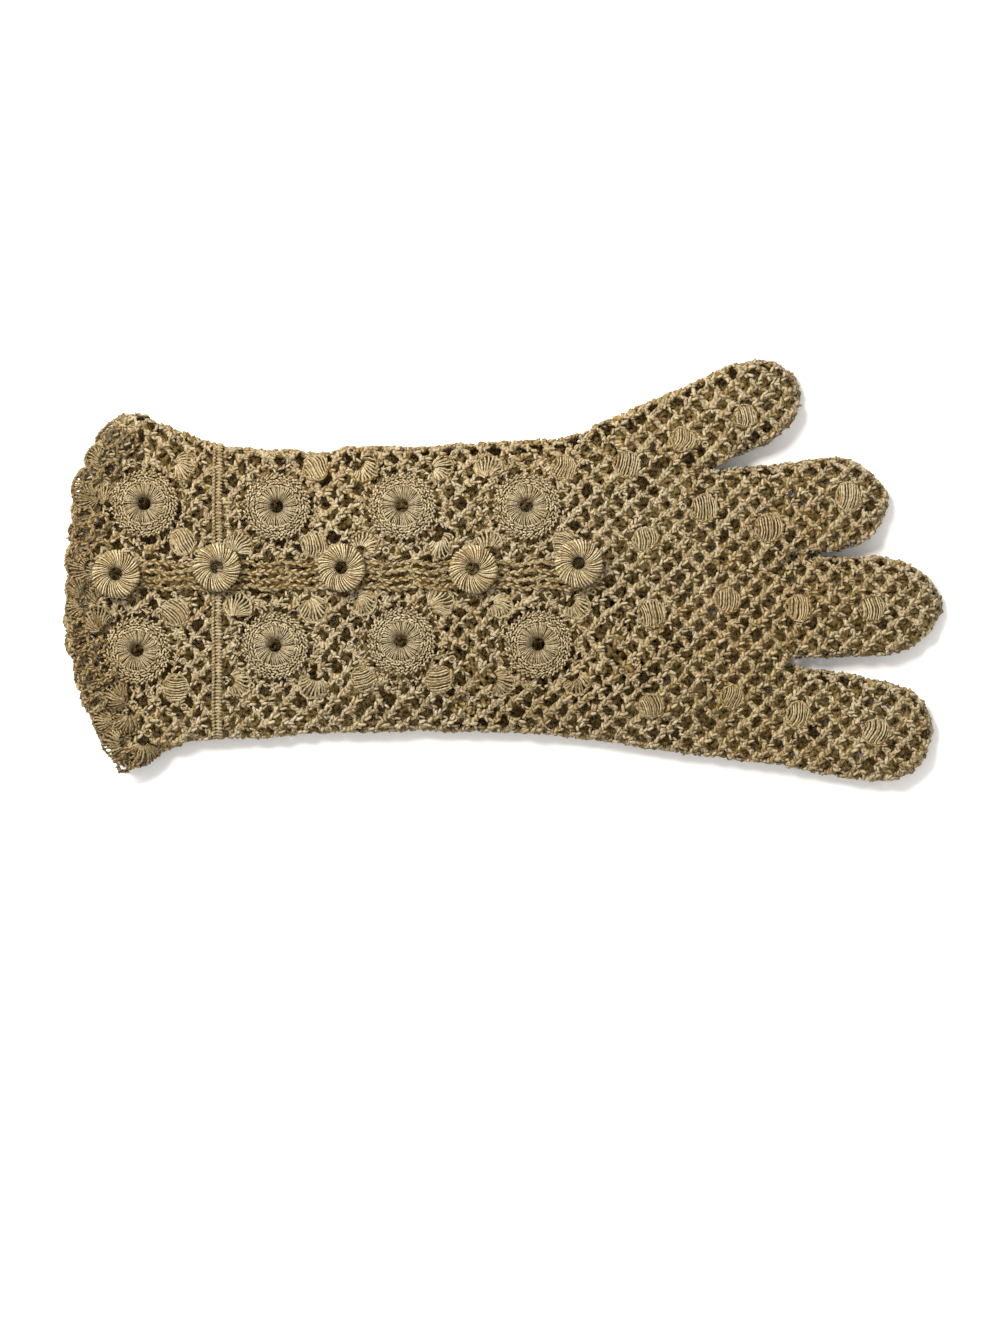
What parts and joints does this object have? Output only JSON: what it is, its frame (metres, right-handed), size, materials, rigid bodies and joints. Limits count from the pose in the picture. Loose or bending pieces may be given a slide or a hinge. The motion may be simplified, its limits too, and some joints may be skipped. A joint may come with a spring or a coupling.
{
  "type": "crochet glove",
  "caption": "Crochet lace glove lying on its palm: open net worked with padded rosettes, ring buttons, small pads, a wrist cord and a flared cuff edged with shells.",
  "frame": {"origin": "middle of the footprint of the lying glove, on the surface that it lies on", "axes": "+X to the fingertips, +Y to the little finger, +Z from the palm to the back of the hand"},
  "size_m": [0.2018, 0.0968, 0.0192],
  "materials": {
    "net": "open net of twisted ecru cotton thread, matt, aged",
    "padded": "padded crochet in ecru cotton thread with close radial stitches, matt",
    "cord": "cord and chains of ecru cotton thread, ribbed, matt",
    "edging": "ruffled shells of ecru cotton thread, matt"
  },
  "bodies": {
    "root": {"hand": "net", "cuff": "net", "cuff_edging": "edging", "wrist_cord": "cord", "thumb": "net", "little_finger": "net", "ring_finger": "net", "middle_finger": "net", "index_finger": "net", "hand_band": "cord", "cuff_band": "cord", "rosette_1": "padded", "rosette_2": "padded", "rosette_3": "padded", "rosette_4": "padded", "rosette_5": "padded", "rosette_6": "padded", "rosette_7": "padded", "rosette_8": "padded", "button_1": "padded", "button_2": "padded", "button_3": "padded", "button_4": "padded", "button_5": "padded", "pad_1": "padded", "pad_2": "padded", "pad_3": "padded", "pad_4": "padded", "pad_5": "padded", "pad_6": "padded", "pad_7": "padded", "pad_8": "padded", "pad_9": "padded", "pad_10": "padded", "pad_11": "padded", "pad_12": "padded", "pad_13": "padded", "pad_14": "padded", "pad_15": "padded", "pad_16": "padded", "pad_17": "padded", "pad_18": "padded", "pad_19": "padded", "pad_20": "padded", "pad_21": "padded", "pad_22": "padded", "pad_23": "padded", "pad_24": "padded", "pad_25": "padded", "pad_26": "padded", "pad_27": "padded", "pad_28": "padded", "pad_29": "padded", "pad_30": "padded", "pad_31": "padded", "pad_32": "padded", "pad_33": "padded", "pad_34": "padded", "pad_35": "padded", "pad_36": "padded"}
  },
  "joints": []
}
